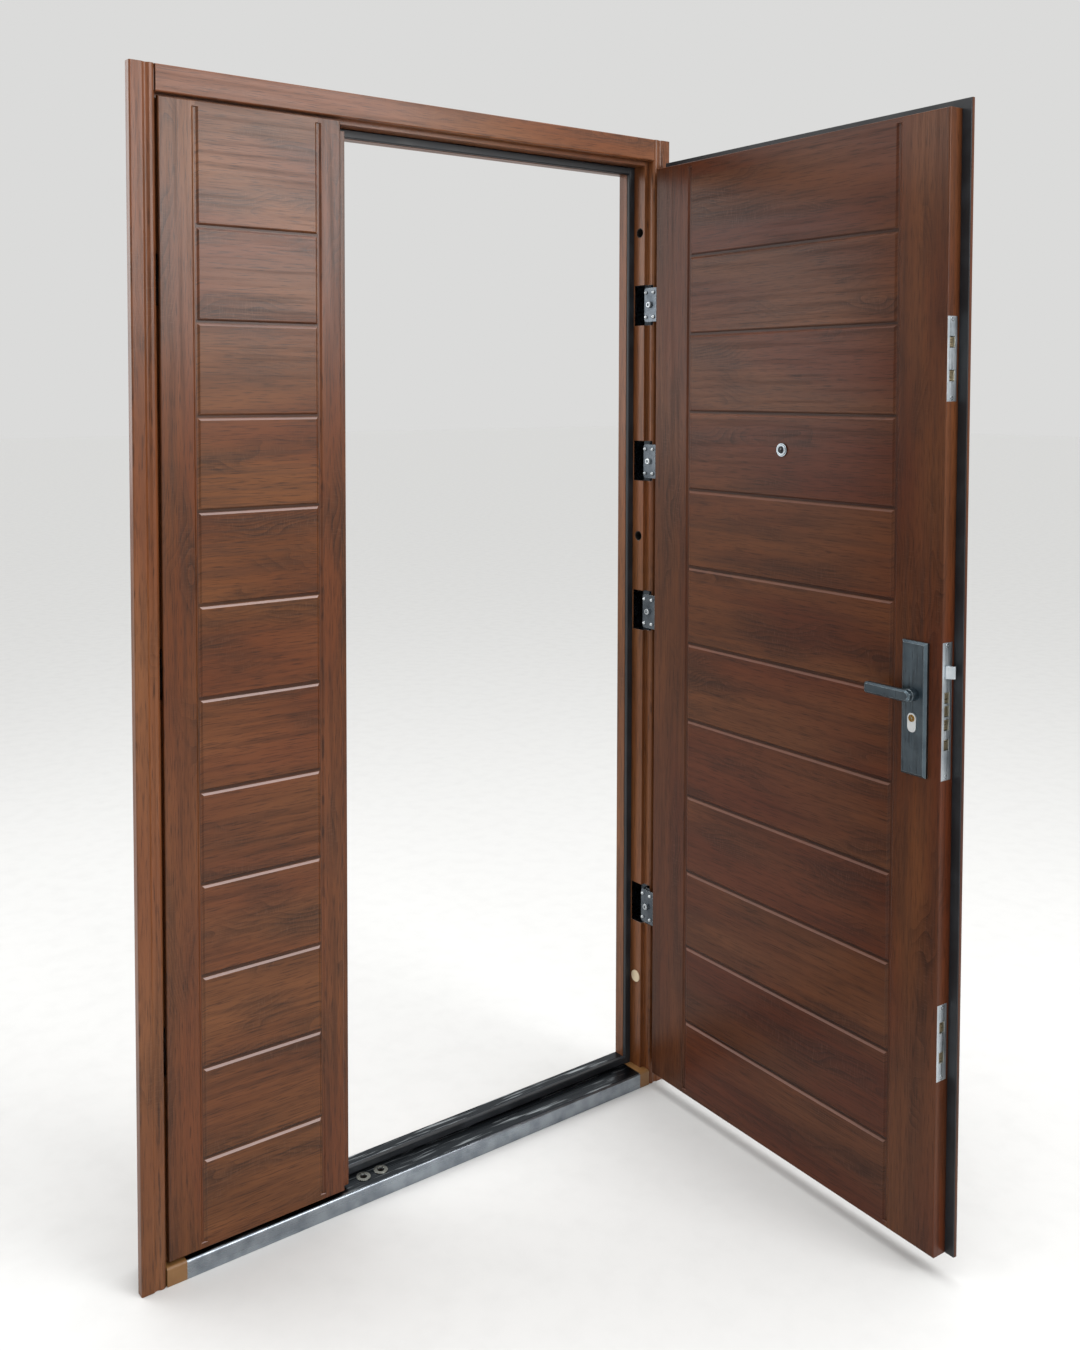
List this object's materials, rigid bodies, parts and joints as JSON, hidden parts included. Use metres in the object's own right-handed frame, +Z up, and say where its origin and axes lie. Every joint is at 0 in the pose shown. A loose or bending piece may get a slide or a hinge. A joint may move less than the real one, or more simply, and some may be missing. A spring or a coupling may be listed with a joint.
{
  "type": "unequal double-leaf security door",
  "caption": "Steel security door set with a wide and a narrow plank-pressed leaf, concealed gooseneck hinges, lever handle and edge locks in a rebated frame on a clad threshold.",
  "frame": {"origin": "centre of the threshold's underside at floor level, midway between the jambs and midway through the frame's depth", "axes": "+X to the right as seen from the side the leaves open to, +Y through the doorway away from that side, +Z up"},
  "size_m": [1.2, 0.8417, 2.05],
  "materials": {
    "woodgrain_frame": "satin wood-grain transfer print on steel sheet",
    "woodgrain_leaf": "satin wood-grain transfer print on pressed steel sheet",
    "threshold_paint": "plain tan paint on steel",
    "stainless": "polished stainless sheet",
    "seal_rubber": "matt black rubber",
    "hinge_steel": "zinc-plated steel",
    "lock_steel": "brushed stainless plate and square bolts",
    "gunmetal": "satin gunmetal plating",
    "bright_chrome": "bright chrome",
    "cap_plastic": "pale moulded plastic"
  },
  "bodies": {
    "frame": {"hinge_jamb": "woodgrain_frame", "side_jamb": "woodgrain_frame", "head": "woodgrain_frame", "threshold_core": "threshold_paint", "threshold_cladding": "stainless", "floor_bolt_sockets": "stainless", "hinge_jamb_seal": "seal_rubber", "side_jamb_seal": "seal_rubber", "head_seal": "seal_rubber", "threshold_seal": "seal_rubber", "anchor_hole_caps": "cap_plastic", "main_hinge_boxes": "hinge_steel", "side_hinge_boxes": "hinge_steel"},
    "main_leaf": {"main_leaf_back": "woodgrain_leaf", "main_leaf_face": "woodgrain_leaf", "main_leaf_gasket": "seal_rubber", "main_hinge_arms": "hinge_steel", "main_lock_plate": "lock_steel", "upper_lock_plate": "lock_steel", "lower_lock_plate": "lock_steel", "inner_handle_plate": "gunmetal", "outer_handle_plate": "gunmetal", "lock_cylinder": "bright_chrome", "peephole": "bright_chrome"},
    "side_leaf": {"side_leaf_face": "woodgrain_leaf", "side_leaf_back": "woodgrain_leaf", "side_leaf_gasket": "seal_rubber", "side_hinge_arms": "hinge_steel", "strike_plates": "lock_steel"},
    "lever": {"inner_lever": "gunmetal", "outer_lever": "gunmetal", "lever_spindle": "lock_steel"},
    "latch": {"latch_bolt": "lock_steel"},
    "deadbolts": {"main_deadbolts": "lock_steel", "upper_deadbolts": "lock_steel", "lower_deadbolts": "lock_steel"}
  },
  "joints": [
    {"name": "main_leaf_swing", "type": "hinge", "parent": "frame", "child": "main_leaf", "pos_m": [0.576, -0.025, 1.042], "axis": [0, 0, 1], "range_deg": [-87.6, 12.4]},
    {"name": "side_leaf_swing", "type": "hinge", "parent": "frame", "child": "side_leaf", "pos_m": [-0.574, -0.029, 1.042], "axis": [0, 0, -1], "range_deg": [0, 95]},
    {"name": "lever_turn", "type": "hinge", "parent": "main_leaf", "child": "lever", "pos_m": [0.52137, -0.73133, 1], "axis": [-0.9991, 0.0419, 0], "range_deg": [0, 40], "stiffness_Nm_per_rad": 1.2, "springref_deg": -34.38},
    {"name": "latch_slide", "type": "slide", "parent": "main_leaf", "child": "latch", "axis": [0.0419, 0.9991, 0], "range_m": [0, 0.012]},
    {"name": "deadbolt_slide", "type": "slide", "parent": "main_leaf", "child": "deadbolts", "axis": [-0.0419, -0.9991, 0], "range_m": [0, 0.018]}
  ],
  "couplings": [
    {"joint": "latch_slide", "follows": "lever_turn", "m_per_rad": 0.017}
  ]
}
